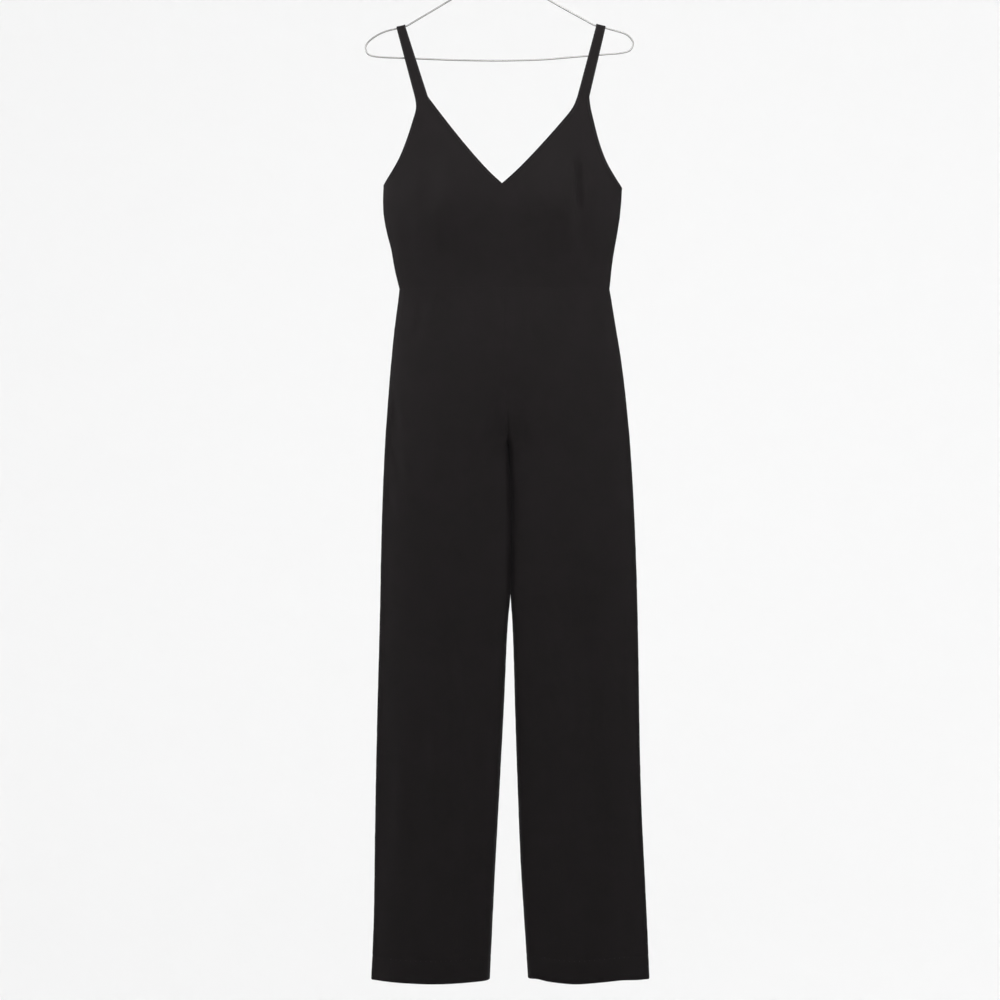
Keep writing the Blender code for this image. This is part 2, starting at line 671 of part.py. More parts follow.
def pull_outline():
    """The pull's outline about its axis, a tab with a round end, and the window under its bar, point for point."""
    half = PULL_WIDTH / 2
    shoulder = half * 0.72
    outline = [(shoulder, PULL_BAR), (-shoulder, PULL_BAR)]
    foot = PULL_BAR - PULL_LENGTH + half
    for i in range(PULL_ROUND_POINTS + 1):
        angle = math.pi + math.pi * i / PULL_ROUND_POINTS
        outline.append((half * math.cos(angle), foot + half * math.sin(angle)))
    window_half, window_low = PULL_WINDOW[0] / 2, -PULL_BAR - PULL_WINDOW[1]
    window = [(window_half, -PULL_BAR), (-window_half, -PULL_BAR)]
    for i in range(PULL_ROUND_POINTS + 1):
        window.append((blend(-window_half, window_half, i / PULL_ROUND_POINTS), window_low))
    return outline, window


def build_pull():
    """The pull hangs flat down the back. Its object's origin is on the hinge axis."""
    centre = pivot()

    def hanging(a, b, depth):
        return Vector((a, depth, b)) * MM

    pull = prism("zip_pull", pull_outline(), -PULL_THICKNESS / 2, PULL_THICKNESS / 2, hanging, BLACK_METAL)
    pull.location = centre * MM


def main():
    for old in list(bpy.data.objects):
        bpy.data.objects.remove(old, do_unlink=True)
    build_bodice()
    build_trousers()
    build_strap(STRAP_LEFT)
    build_strap(STRAP_RIGHT)
    build_hanger()
    build_zip_tape()
    build_slider()
    build_pull()


main()
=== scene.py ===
# %% [markdown]
# # A black crepe jumpsuit on a wire hanger
#
# A jumpsuit is a bodice and a pair of trousers that are sewn together at the waist. This one is cut from
# matte black crepe and hangs flat from a wire hanger. The frame brings its rigid model, whose solids give
# each cloth panel its place and its shape. Here every panel becomes real cloth: a thin sheet with soft
# creases, turned edges, seams and stitches. The hanger and the zip get the round edges of bent wire and
# cast metal. Lengths are written in millimetres and turned to metres where Blender needs them.

# %% Frame and units
import math
from collections import namedtuple

import bmesh
import bpy
import numpy as np
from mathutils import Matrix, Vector, noise
from mathutils.bvhtree import BVHTree
from mathutils.kdtree import KDTree


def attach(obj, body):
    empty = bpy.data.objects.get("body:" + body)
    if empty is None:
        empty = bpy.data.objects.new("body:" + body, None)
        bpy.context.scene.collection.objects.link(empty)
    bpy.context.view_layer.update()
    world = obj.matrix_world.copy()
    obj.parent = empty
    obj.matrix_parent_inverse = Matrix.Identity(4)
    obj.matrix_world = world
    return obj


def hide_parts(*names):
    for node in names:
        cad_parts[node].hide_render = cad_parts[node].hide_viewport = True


MM = 0.001
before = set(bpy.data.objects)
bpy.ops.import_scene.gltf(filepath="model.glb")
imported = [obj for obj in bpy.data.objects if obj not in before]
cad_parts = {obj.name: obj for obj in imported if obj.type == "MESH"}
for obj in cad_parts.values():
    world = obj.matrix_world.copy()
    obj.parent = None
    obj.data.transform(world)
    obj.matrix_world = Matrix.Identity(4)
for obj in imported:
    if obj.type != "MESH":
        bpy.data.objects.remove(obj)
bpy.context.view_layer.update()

# %% [markdown]
# ## Working as by hand
#
# Every operator acts on all that is selected, so each step begins by deselecting everything and then picks
# what it needs by its place or its direction. These few helpers do the picking, and they apply a modifier
# as soon as it is set, so that a finished piece is plain mesh.


# %% Selecting and applying
WELD = 0.002  # points nearer than this are one
SMOOTH_ANGLE = math.radians(50)  # an edge that turns more stays sharp


def only(piece):
    """Deselects everything, then makes one piece the selected and active one."""
    bpy.ops.object.select_all(action="DESELECT")
    piece.select_set(True)
    bpy.context.view_layer.objects.active = piece


def select_faces(piece, wanted=()):
    """Selects only the faces with these numbers, and opens the piece in edit mode."""
    only(piece)
    mesh = piece.data
    for parts in (mesh.vertices, mesh.edges, mesh.polygons):
        parts.foreach_set("select", np.zeros(len(parts), bool))
    for number in wanted:
        mesh.polygons[number].select = True
    bpy.context.tool_settings.mesh_select_mode = (False, False, True)
    bpy.ops.object.mode_set(mode="EDIT")


def begin(primitive_add, **settings):
    """Adds a primitive with nothing else selected, applies its place, and selects all of it in edit mode."""
    bpy.ops.object.select_all(action="DESELECT")
    primitive_add(**settings)
    bpy.ops.object.transform_apply(location=True, rotation=True, scale=True)
    bpy.ops.object.mode_set(mode="EDIT")
    bpy.ops.mesh.select_all(action="SELECT")
    return bpy.context.object


def finish_faces(inside=False):
    """Turns all faces outwards, or inwards, and leaves edit mode."""
    bpy.ops.mesh.select_all(action="SELECT")
    bpy.ops.mesh.normals_make_consistent(inside=inside)
    bpy.ops.object.mode_set(mode="OBJECT")


def modify(piece, kind, **settings):
    """Adds a modifier with its settings and applies it."""
    only(piece)
    modifier = piece.modifiers.new(kind.title(), kind)
    for name, value in settings.items():
        setattr(modifier, name, value)
    bpy.ops.object.modifier_apply(modifier=modifier.name)


def smooth(piece):
    """Shades a piece smooth, apart from its sharp edges."""
    only(piece)
    bpy.ops.object.shade_smooth_by_angle(angle=SMOOTH_ANGLE)


def new_piece(name, mesh):
    """An object at the origin that holds a mesh."""
    piece = bpy.data.objects.new(name, mesh)
    bpy.context.collection.objects.link(piece)
    return piece


def node_copy(node, name):
    """A copy of a solid's mesh as a new object, with its loose triangles merged into one skin."""
    piece = new_piece(name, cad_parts[node].data.copy())
    piece.data.materials.clear()
    select_faces(piece)
    bpy.ops.mesh.select_all(action="SELECT")
    bpy.ops.mesh.remove_doubles(threshold=WELD * MM)
    bpy.ops.object.mode_set(mode="OBJECT")
    return piece


def places(mesh):
    """The vertices of a mesh as rows of x, y, z in millimetres."""
    flat = np.empty(len(mesh.vertices) * 3)
    mesh.vertices.foreach_get("co", flat)
    return flat.reshape(-1, 3) / MM


def directions(mesh):
    """The normals of a mesh's vertices."""
    flat = np.empty(len(mesh.vertices) * 3)
    mesh.vertex_normals.foreach_get("vector", flat)
    return flat.reshape(-1, 3)


def move_to(mesh, points):
    """Puts the vertices of a mesh at rows of x, y, z in millimetres."""
    mesh.vertices.foreach_set("co", (points * MM).ravel())
    mesh.update()


# %% [markdown]
# ## Colours and nodes
#
# Cloth colours are easier to choose as sRGB hex values, as in a paint chart. Blender mixes light in linear
# values, so one function turns the one into the other. A second small function adds a node with its
# settings and its links, and every material is made with it.


# %% Colour and node helpers
def linear(hex_colour):
    """An sRGB hex colour as linear RGBA."""
    shares = [int(hex_colour[i:i + 2], 16) / 255 for i in (1, 3, 5)]
    return (*[s / 12.92 if s <= 0.04045 else ((s + 0.055) / 1.055) ** 2.4 for s in shares], 1.0)


def node(tree, kind, inputs=None, **settings):
    """Adds a node. Each input is a plain value, or an output of another node that is linked to it."""
    made = tree.nodes.new(kind)
    for name, value in settings.items():
        setattr(made, name, value)
    for name, value in (inputs or {}).items():
        socket = made.inputs[name]
        if isinstance(value, bpy.types.NodeSocket):
            tree.links.new(value, socket)
        else:
            socket.default_value = value
    return made


def new_material(name):
    """A material, its node tree, and the place on the piece, which every pattern reads."""
    material = bpy.data.materials.new(name)
    material.use_nodes = True
    tree = material.node_tree
    tree.nodes.clear()
    return material, tree, node(tree, "ShaderNodeTexCoord").outputs["Object"]


def finish_material(tree, **inputs):
    """The shader with its inputs, and the output."""
    named = {name.replace("_", " ").title().replace("Ior", "IOR"): value for name, value in inputs.items()}
    shader = node(tree, "ShaderNodeBsdfPrincipled", named)
    node(tree, "ShaderNodeOutputMaterial", {"Surface": shader.outputs["BSDF"]})


def per_mm(period):
    """The scale of a texture on Object coordinates that repeats about every so many millimetres."""
    return 1.0 / (period * MM)


# %% [markdown]
# ## Black crepe
#
# Crepe is woven from hard-twisted yarn that crinkles when it is washed, which gives a dry, matt face with
# a fine pebble. Polyester crepe is dyed through, so its black is even, with only a faint cloudiness where
# the pile of fibre ends catches the light. The real pebble is 0.3 to 0.6 mm across. At one and a half
# millimetres to a pixel it would vanish, so the coarser of the two grains is drawn at 2.4 mm, which shows
# as a slight tooth, and the fine one keeps its size for close views. The crinkled threads stand at all
# angles, so crepe has almost no gloss, but a little sheen at grazing angles from the loose fibre ends.

# %% Crepe material
CREPE_DARK = "#0f0d0d"
CREPE_LIGHT = "#120f10"
PEBBLE = 2.4
FINE_PEBBLE = 0.7
CLOUD = 38.0
GRAIN_HEIGHT = 0.16


def crepe_material():
    """Two sizes of pebble over a faint cloud, almost without gloss."""
    material, tree, where = new_material("black woven polyester crepe")
    cloud = node(tree, "ShaderNodeTexNoise",
                 {"Vector": where, "Scale": per_mm(CLOUD), "Detail": 3.0, "Roughness": 0.6})
    pebble = node(tree, "ShaderNodeTexNoise",
                  {"Vector": where, "Scale": per_mm(PEBBLE), "Detail": 2.0, "Roughness": 0.55})
    fine = node(tree, "ShaderNodeTexNoise", {"Vector": where, "Scale": per_mm(FINE_PEBBLE), "Detail": 1.0})
    tone = node(tree, "ShaderNodeMath", {0: cloud.outputs["Fac"], 1: pebble.outputs["Fac"]}, operation="ADD")
    spread = node(tree, "ShaderNodeMapRange", {
        "Value": tone.outputs[0], "From Min": 0.7, "From Max": 1.3, "To Min": 0.0, "To Max": 1.0})
    colour = node(tree, "ShaderNodeMix", {
        "Factor": spread.outputs[0], "A": linear(CREPE_DARK), "B": linear(CREPE_LIGHT)}, data_type="RGBA")
    height = node(tree, "ShaderNodeMath", {0: pebble.outputs["Fac"], 1: fine.outputs["Fac"]}, operation="ADD")
    bump = node(tree, "ShaderNodeBump", {
        "Height": height.outputs[0], "Strength": 0.7, "Distance": GRAIN_HEIGHT * MM})
    finish_material(
        tree, base_color=colour.outputs["Result"], normal=bump.outputs["Normal"], roughness=0.82,
        specular_ior_level=0.08, sheen_weight=0.105, sheen_roughness=0.35, sheen_tint=linear("#8d8b90"))
    return material


crepe = crepe_material()
print("crepe: pebble", PEBBLE, "mm, fine pebble", FINE_PEBBLE, "mm, cloud", CLOUD, "mm")

# %% [markdown]
# ## From solid to cloth
#
# A panel of the solid model is a closed wall. Real cloth could be simulated, but a garment that hangs flat
# barely moves from its cut, and a simulation would lose the panel's outline. So the outer skin of each
# solid is kept as the cloth: one face of it is picked, the selection grows over every face that turns only
# gently, and the rest is deleted. The triangles are joined to quads and smoothed with a subdivision
# surface. The corners of the cut, such as the point of the V neck, are creased first, or they would melt
# into curves.

# %% The outer skin of a panel
FACING = 0.5  # an outer face looks at least this much to its side
GENTLE_TURN = math.radians(50)
CORNER_TURN = math.radians(27)
ROUND_TURN = math.radians(33)  # an armhole bends more than this only at its ends
NECK_FOOT = -412.0  # necklines and armholes stay above this height
SMOOTHING = 3
FRONT, BACK = -1, 1


def outer_skin(source, name, side, levels=SMOOTHING):
    """The outer faces of a solid as a smooth sheet. The side is that of its outermost face."""
    piece = node_copy(source, name)
    facing = [face for face in piece.data.polygons if side * face.normal.y > FACING]
    start = max(facing, key=lambda face: side * face.center.y)
    select_faces(piece, [start.index])
    bpy.ops.mesh.faces_select_linked_flat(sharpness=GENTLE_TURN)
    bpy.ops.mesh.select_all(action="INVERT")
    bpy.ops.mesh.delete(type="FACE")
    bpy.ops.mesh.select_all(action="SELECT")
    bpy.ops.mesh.tris_convert_to_quads(face_threshold=math.pi, shape_threshold=math.pi)
    bpy.ops.object.mode_set(mode="OBJECT")
    crease_corners(piece.data)
    modify(piece, "SUBSURF", levels=levels, render_levels=levels)
    piece.data.attributes.remove(piece.data.attributes["crease_vert"])
    return piece


def crease_corners(mesh):
    """Holds each corner of a sheet's border where it is."""
    bm = bmesh.new()
    bm.from_mesh(mesh)
    crease = bm.verts.layers.float.new("crease_vert")
    for vert in bm.verts:
        if is_corner(vert):
            vert[crease] = 1.0
    bm.to_mesh(mesh)
    bm.free()


def is_corner(vert):
    """Whether a sheet's border turns sharply at a vertex."""
    rim = [edge.other_vert(vert).co - vert.co for edge in vert.link_edges if edge.is_boundary]
    least = ROUND_TURN if vert.co.z > NECK_FOOT * MM else CORNER_TURN
    return len(rim) == 2 and rim[0].angle(rim[1]) < math.pi - least


PANELS = {
    "bodice_front": FRONT, "bodice_back_left": BACK, "bodice_back_right": BACK,
    "trouser_front_left": FRONT, "trouser_front_right": FRONT,
    "trouser_back_left": BACK, "trouser_back_right": BACK,
}
STRAPS = {"strap_left": FRONT, "strap_right": FRONT}
skins = {name: outer_skin(name, f"cloth_{name}", side) for name, side in (PANELS | STRAPS).items()}
for name, skin in skins.items():
    print(name, "faces:", len(skin.data.polygons))

# %% [markdown]
# ## Finding the borders
#
# A maker thinks of a panel by its borders: this one is sewn to the next panel, that one is turned under and
# stitched down, and the lowest one is hemmed. The border of each sheet is walked from corner to corner, and
# each run is named by where it lies. Everything that follows, from puckers to stitches, is measured from
# these runs.

# %% Border runs
SHORT_RISE = 8.0  # a level run rises less: a hem, a waist or the foot of a strap
STRAP_FOOT = -300.0  # of the level runs, only the feet of the straps are above this height
HEM = -1584.0
HEM_HEIGHT = 35.0  # of the turned-up cloth


def border_runs(mesh):
    """The border as runs of vertex numbers between corners."""
    bm = bmesh.new()
    bm.from_mesh(mesh)
    bm.verts.ensure_lookup_table()
    corners = [v for v in bm.verts if is_corner(v)]
    runs, used = [], set()
    for corner in corners:
        for first in [e for e in corner.link_edges if e.is_boundary and e not in used]:
            run, edge, vert = [corner.index], first, corner
            while True:
                used.add(edge)
                vert = edge.other_vert(vert)
                run.append(vert.index)
                if vert in corners:
                    break
                edge = next(e for e in vert.link_edges if e.is_boundary and e not in used)
            runs.append(run)
    bm.free()
    return runs


def run_kind(points):
    """What a run is: an edge is a neckline or an armhole, and a seam joins two panels."""
    low, high = points[:, 2].min(), points[:, 2].max()
    if high - low < SHORT_RISE:
        return "strap" if low > STRAP_FOOT else "hem" if high < HEM + SHORT_RISE else "waist"
    return "edge" if low > NECK_FOOT else "seam"


borders = {}
for name, skin in skins.items():
    where = places(skin.data)
    borders[name] = [(run_kind(where[run]), run) for run in border_runs(skin.data)]
    print(name, [(kind, len(run)) for kind, run in borders[name]])

# %% [markdown]
# ## Soft creases
#
# Hung cloth keeps long, shallow folds that start where it is held and fade as they fall. Each is listed in a
# table: where it starts and ends, how deep and how wide it is, and how far it bows sideways. A
# positive depth is a trough and a negative one is a ridge. The profile is a soft bell with a faint lip on
# each side, because cloth that is pressed in at one place swells beside it. The hidden back has folds of the
# same kind, none of them a mirror image of the front's.

# %% Crease table
Crease = namedtuple("Crease", "x_top z_top x_bottom z_bottom depth width bow")
FRONT_CREASES = [
    # bodice front: from the bust to the waist, and along the neckline
    (115, -346, 118, -452, 4.6, 4.6, 0),
    (116, -400, 123, -520, 2, 11, 1),
    (136, -335, 140, -450, -1.4, 11, 0),
    (-102, -315, -98, -450, 2.4, 15, -2),
    (-92, -400, -80, -520, 0.8, 8, 4),
    (-140, -420, -122, -540, 0.9, 9, -5),
    (92, -430, 84, -545, 0.8, 8, 3),
    (40, -440, 30, -548, 0.6, 10, 2),
    (-34, -430, -22, -548, 0.7, 9, -4),
    (152, -480, 132, -548, 0.8, 7, 3),
    # hips and front of the trousers
    (-118, -553, -126, -640, 1, 7, 2),
    (-84, -553, -92, -612, 0.7, 6, -2),
    (-30, -553, -34, -628, 0.7, 7, 2),
    (44, -553, 52, -640, 0.8, 7, -3),
    (92, -553, 104, -622, 0.8, 7, 3),
    (128, -553, 146, -650, 0.9, 8, 3),
    (2, -700, -34, -812, 1.1, 9, 7),
    (20, -712, 62, -830, 1, 10, -8),
    (-22, -770, -58, -850, 0.8, 8, 5),
    (-160, -700, -150, -772, 1.3, 6, -4),
    (-168, -770, -150, -850, 1.2, 7, 5),
    (-166, -835, -158, -900, 0.9, 6, -3),
    # front of the legs
    (-64, -985, -76, -1540, 0.9, 8, 6),
    (-30, -1020, -44, -1330, 0.9, 11, -5),
    (-124, -1060, -136, -1500, 1, 14, 8),
    (-158, -1180, -166, -1440, 0.8, 9, -4),
    (-98, -1340, -104, -1575, -0.9, 13, 5),
    (122, -1040, 146, -1440, 1.2, 9, 8),
    (58, -1000, 66, -1360, 1, 12, -6),
    (170, -980, 182, -1300, 0.8, 10, 5),
    (96, -1260, 104, -1570, -0.9, 12, -4),
    (64, -1420, 70, -1575, 1, 8, 3),
    (188, -1360, 196, -1560, 0.8, 9, -3),
]
BACK_CREASES = [
    # bodice back
    (104, -408, 98, -540, 0.65, 8, 4),
    (134, -420, 140, -530, 0.59, 10, -3),
    (52, -430, 42, -545, 0.52, 12, -3),
    (-90, -405, -84, -545, 0.65, 8, 3),
    (-130, -430, -120, -540, 0.59, 10, 4),
    (-40, -436, -30, -546, 0.45, 12, 3),
    # seat and back of the trousers
    (-110, -553, -104, -650, 0.65, 10, -3),
    (-60, -553, -70, -640, 0.52, 9, 3),
    (60, -553, 68, -636, 0.52, 9, 2),
    (118, -553, 124, -655, 0.65, 10, 3),
    (-14, -760, -66, -850, 0.85, 12, -8),
    (38, -764, 86, -846, 0.78, 12, 8),
    (-30, -790, -90, -905, 0.65, 16, -9),
    (52, -796, 112, -900, 0.65, 14, 9),
    # back of the legs
    (-84, -840, -100, -1290, 1.1, 9, -6),
    (-136, -900, -146, -1340, 1, 13, 6),
    (-40, -1060, -60, -1480, 1, 12, -6),
    (-110, -1280, -120, -1570, -0.9, 13, 5),
    (108, -860, 124, -1240, 1.1, 9, 6),
    (160, -930, 172, -1360, 0.9, 12, -5),
    (62, -1080, 76, -1500, 1, 12, 6),
    (132, -1260, 146, -1570, -0.9, 13, -5),
]
CREASES = {side: [Crease(*row) for row in rows]
           for side, rows in ((FRONT, FRONT_CREASES), (BACK, BACK_CREASES))}
FADE = 0.35  # share of a crease's length over which it fades in or out
LIP_PLACE, LIP_WIDTH, LIP_SHARE = 1.9, 0.8, 0.3  # in widths of the crease, and as a share of its depth


def ease(share):
    """0 to 1 with a soft start and end."""
    s = np.clip(share, 0.0, 1.0)
    return s * s * (3 - 2 * s)


def crease_depth(side, x, z):
    """How far the creases press the cloth in at these places."""
    total = np.zeros_like(x)
    for c in CREASES[side]:
        along = (z - c.z_top) / (c.z_bottom - c.z_top)
        middle = c.x_top + (c.x_bottom - c.x_top) * along + c.bow * 4 * along * (1 - along)
        off = np.abs(x - middle) / c.width
        bell = np.exp(-off * off) - LIP_SHARE * np.exp(-((off - LIP_PLACE) / LIP_WIDTH) ** 2)
        fade = ease(along / FADE) * ease((1 - along) / FADE)
        total += c.depth * bell * fade
    return total


print("creases in front:", len(CREASES[FRONT]), "and behind:", len(CREASES[BACK]))

# %% [markdown]
# ## Slack, seams and turned edges
#
# Three smaller things make a flat sheet read as sewn cloth. Slack is the gentle unevenness between the
# folds, longer down the grain than across it. A seam sinks, because the thread pulls two layers together;
# the allowances inside push a low ridge out beside it, and the thread gathers the cloth into small puckers.
# A turned edge, as at the neck, the armholes and the hem, is thicker up to its row of stitches, where it is
# drawn in. Each is a height over the sheet, worked out from the distance to a border run.

# %% Distances to the borders
SAMPLE = 0.8  # spacing of the points that stand for a border run
FAR = 1000.0  # stands for the distance to a run that a panel doesn't have


def dense(points):
    """A run's points with more between them, so that a distance to them is a distance to the line."""
    steps = [points[:1]]
    for a, b in zip(points, points[1:]):
        count = max(int(np.linalg.norm(b - a) / SAMPLE), 1)
        steps.append(a + (b - a) * (np.arange(1, count + 1) / count)[:, None])
    return np.vstack(steps)


def distance_to(where, lines):
    """The distance from each place to the nearest of some runs, in millimetres."""
    if not lines:
        return np.full(len(where), FAR)
    cloud = np.vstack([dense(line) for line in lines])
    tree = KDTree(len(cloud))
    for i, point in enumerate(cloud):
        tree.insert(point, i)
    tree.balance()
    return np.array([tree.find(point)[2] for point in where])


def hem_distance(where, runs):
    """The distance from each place to the hem's lower edge."""
    return distance_to(where, [where[run] for kind, run in runs if kind == "hem"])


# %% Heights near the borders
SEAM_DIP = (0.28, 2.0)  # depth and width
SEAM_RIDGE = (0.14, 8.0, 3.6)  # height, place and width
WAIST_DIP = (0.05, 1.6)  # the waist seam is pressed flat
PUCKER = (0.32, 9.0, 9.0)  # height, length along the seam, and reach from it
PUCKER_SEED = 3.3
TURN_DIP = (0.30, 4.2, 1.5)  # depth, place and width
TURN_SWELL = (0.18, 1.8)  # height, and width from the border
HEM_DIP = (0.34, 2.4)
SLACK = ((0.80, 52.0, 210.0), (0.26, 21.0, 70.0))  # height, and length across and down, of each layer
LAYER_SEED = 10.0
CALM = 11.0  # near a seam the slack dies out over this length


def bell(distance, place, width):
    """A soft hump of height 1 round a place."""
    return np.exp(-(((distance - place) / width) ** 2))


def waves(where, across, down, seed):
    """Smooth noise from -1 to 1 over the sheet."""
    return np.array([noise.noise((x / across, seed, z / down)) for x, _, z in where])


def sewn_height(where, runs):
    """How far the seams, turned edges and slack lift the cloth out, and how near a seam each place is."""
    seam, waist, turned, held = (
        distance_to(where, [where[run] for kind, run in runs if kind in kinds])
        for kinds in (("seam",), ("waist",), ("edge",), ("seam", "waist", "strap")))
    height = -SEAM_DIP[0] * bell(seam, 0.0, SEAM_DIP[1]) + SEAM_RIDGE[0] * bell(seam, *SEAM_RIDGE[1:])
    height -= WAIST_DIP[0] * bell(waist, 0.0, WAIST_DIP[1])
    height += PUCKER[0] * waves(where, PUCKER[1], PUCKER[1], PUCKER_SEED) * bell(seam, 0.0, PUCKER[2])
    height += (TURN_SWELL[0] * bell(turned, TURN_SWELL[1], TURN_SWELL[1])
               - TURN_DIP[0] * bell(turned, *TURN_DIP[1:]))
    height -= HEM_DIP[0] * bell(hem_distance(where, runs), HEM_HEIGHT, HEM_DIP[1])
    calm = 1.0 - bell(held, 0.0, CALM)
    for layer, (rise, across, down) in enumerate(SLACK):
        height += rise * waves(where, across, down, LAYER_SEED * layer) * calm
    return height, calm


# %% [markdown]
# ## Fullness and the hang of the hem
#
# Cloth doesn't turn a corner sharply. It spans the bend at the waist, stays full on each side of the inside
# leg, and swells above the crotch, where four panels meet. A hem that hangs free isn't quite level either:
# it drops where the leg is loose and is held up beside a seam. The panels are moved for this before the
# creases and heights lift them along their own normals.

# %% Fullness
WAIST_FILL = (1.8, 22.0)  # height, and reach up and down
INSEAM_FILL = (5.4, 9.0)  # height, and place beside the inside leg
RISE_FILL = (5.0, 10.0, -690.0, -750.0)  # above the crotch: height, reach, where it begins and is full
INSEAM_PLACE = 80.0  # the inside legs lie nearer the middle than this
FLAT = 1.0  # a seam between a front and a back stays this near the middle plane


def seam_axis(points):
    """The axis across a seam: z at the waist, y where front meets back, and x in the middle."""
    if np.ptp(points[:, 2]) < SHORT_RISE:
        return 2
    return 1 if np.abs(points[:, 1]).max() < FLAT else 0


def is_inseam(line):
    """Whether a seam is that of an inside leg."""
    return seam_axis(line) == 1 and abs(line[:, 0].mean()) < INSEAM_PLACE


def fullness(where, runs):
    """How far the cloth stands out beside the inside leg and above the crotch, besides its creases."""
    seams = [where[run] for kind, run in runs if kind == "seam"]
    inside = distance_to(where, [line for line in seams if is_inseam(line)])
    rise = distance_to(where, [line for line in seams if seam_axis(line) == 0])
    height, place = INSEAM_FILL
    out = height * inside / place * np.exp(1 - inside / place)
    height, reach, begins, full = RISE_FILL
    share = ease((begins - where[:, 2]) / (begins - full)) * (1 - bell(inside, 0.0, place))
    return out + height * bell(rise, 0.0, reach) * share


# %% Hang of the hem, and draping
Drop = namedtuple("Drop", "x fall reach")
HEM_DROPS = [Drop(-100, 3.5, 75), Drop(54, -2.4, 12), Drop(111, 3.7, 35), Drop(183, -1.6, 20)]
HEM_PULL = 170.0  # the unevenness dies out up the leg over this height


def hem_fall(where):
    """How far the hem hangs below a level line."""
    fall = sum(drop.fall * bell(where[:, 0], drop.x, drop.reach) for drop in HEM_DROPS)
    return fall * ease((HEM + HEM_PULL - where[:, 2]) / HEM_PULL)


def drape(piece, side, runs):
    """Presses the creases into a skin and lifts it by its sewn heights, along its own normals."""
    where, out = places(piece.data), directions(piece.data)
    height, calm = sewn_height(where, runs)
    height -= crease_depth(side, where[:, 0], where[:, 2]) * calm
    waist = distance_to(where, [where[run] for kind, run in runs if kind == "waist"])
    where[:, 1] += WAIST_FILL[0] * np.exp(-waist / WAIST_FILL[1]) * out[:, 1] * np.abs(out[:, 1])
    where[:, 1] += side * fullness(where, runs)
    where[:, 2] -= hem_fall(where)
    move_to(piece.data, where + out * height[:, None])
    return height.min(), height.max()


# %% [markdown]
# ## Closing the seams
#
# The solids stand 0.3 mm apart where they are sewn. Cloth that is sewn leaves no gap, and light would shine
# through it, so every sewn border is drawn over the gap to meet the next panel's. Between the crotch and
# the middle of the thigh the two inside legs touch, and there the left one laps over the right one.

# %% Closed seams and lapped legs
SEAM_REACH = 0.14  # how far a sewn border is drawn over the gap
FOOT_REACH = 0.3  # a strap's foot laps over more, because light stands behind it
LAP_ACROSS, LAP_FORWARD, LAP_REACH = 1.5, 1.3, 7.0
LAP_HEIGHTS = (-775.0, -800.0, -995.0, -1050.0)  # begins, is full, begins to end, ends


def close_seams(piece, cut, runs):
    """Draws the sewn borders together. cut has the points of the bare skin."""
    where = places(piece.data)
    for kind, run in runs:
        if kind in ("seam", "waist", "strap"):
            axis = seam_axis(cut[run])
            outward = np.sign(cut[run, axis].mean() - cut[:, axis].mean())
            if axis == 1:
                outward = -np.sign(cut[:, 1].mean())
            reach = FOOT_REACH if kind == "strap" else SEAM_REACH
            where[run, axis] = cut[run, axis] + outward * reach
    move_to(piece.data, where)


def lap_legs(piece, name, runs):
    """Moves the inside leg a little over or under the other one."""
    where = places(piece.data)
    hand = 1.0 if name.endswith("left") else -1.0
    inside = [where[run] for kind, run in runs if kind == "seam" and is_inseam(where[run])]
    top, full, fall, end = LAP_HEIGHTS
    z = where[:, 2]
    share = ease((top - z) / (top - full)) * ease((z - end) / (fall - end))
    share *= bell(distance_to(where, inside), 0.0, LAP_REACH)
    where[:, 0] += hand * LAP_ACROSS * share
    where[:, 1] -= hand * LAP_FORWARD * share
    move_to(piece.data, where)


for name, side in PANELS.items():
    cut = places(skins[name].data)
    low, high = drape(skins[name], side, borders[name])
    close_seams(skins[name], cut, borders[name])
    if name.startswith("trouser"):
        lap_legs(skins[name], name, borders[name])
    print(name, "pressed in by up to", round(-low, 2), "mm and out by up to", round(high, 2), "mm")
for name in STRAPS:
    close_seams(skins[name], places(skins[name].data), borders[name])

# %% [markdown]
# ## Thickness
#
# Crepe of this weight is under half a millimetre thick, but a panel's edge is turned under and stitched, so
# it looks about as thick as a coin. Solidify gives the sheet its wall, always inwards, so that the outside
# stays where the solid's was. The hem is folded up inside, and a vertex group makes the wall thicker there.
# A small bevel rounds the rims, as a folded edge is round.

# %% Walls
CLOTH_WALL = 1.15
HEM_WALL = 2.1
RIM_ROUND = 0.3
RIM_ANGLE = math.radians(60)


def give_wall(piece, runs, wall=CLOTH_WALL, hem_wall=HEM_WALL):
    """Thickens a skin inwards, more so in the hem, and rounds the rims that are not sewn to another panel."""
    low = np.flatnonzero(hem_distance(places(piece.data), runs) < HEM_HEIGHT)
    free = [i for kind, run in runs if kind in ("edge", "hem") for i in run]
    piece.vertex_groups.new(name="hem").add(low.tolist(), 1.0, "REPLACE")
    piece.vertex_groups.new(name="free").add(free, 1.0, "REPLACE")
    modify(piece, "SOLIDIFY", thickness=hem_wall * MM, offset=-1.0, use_even_offset=True,
           vertex_group="hem", thickness_vertex_group=wall / hem_wall)
    weigh_rims(piece.data, piece.vertex_groups["free"].index)
    modify(piece, "BEVEL", width=RIM_ROUND * MM, segments=2, limit_method="WEIGHT", use_clamp_overlap=False)
    piece.data.attributes.remove(piece.data.attributes["bevel_weight_edge"])
    piece.vertex_groups.clear()
    smooth(piece)


def weigh_rims(mesh, free_group):
    """Marks the sharp edges between points of the free borders for the bevel."""
    bm = bmesh.new()
    bm.from_mesh(mesh)
    groups = bm.verts.layers.deform.verify()
    weight = bm.edges.layers.float.new("bevel_weight_edge")
    for edge in bm.edges:
        if edge.calc_face_angle(0.0) > RIM_ANGLE and all(free_group in vert[groups] for vert in edge.verts):
            edge[weight] = 1.0
    bm.to_mesh(mesh)
    bm.free()


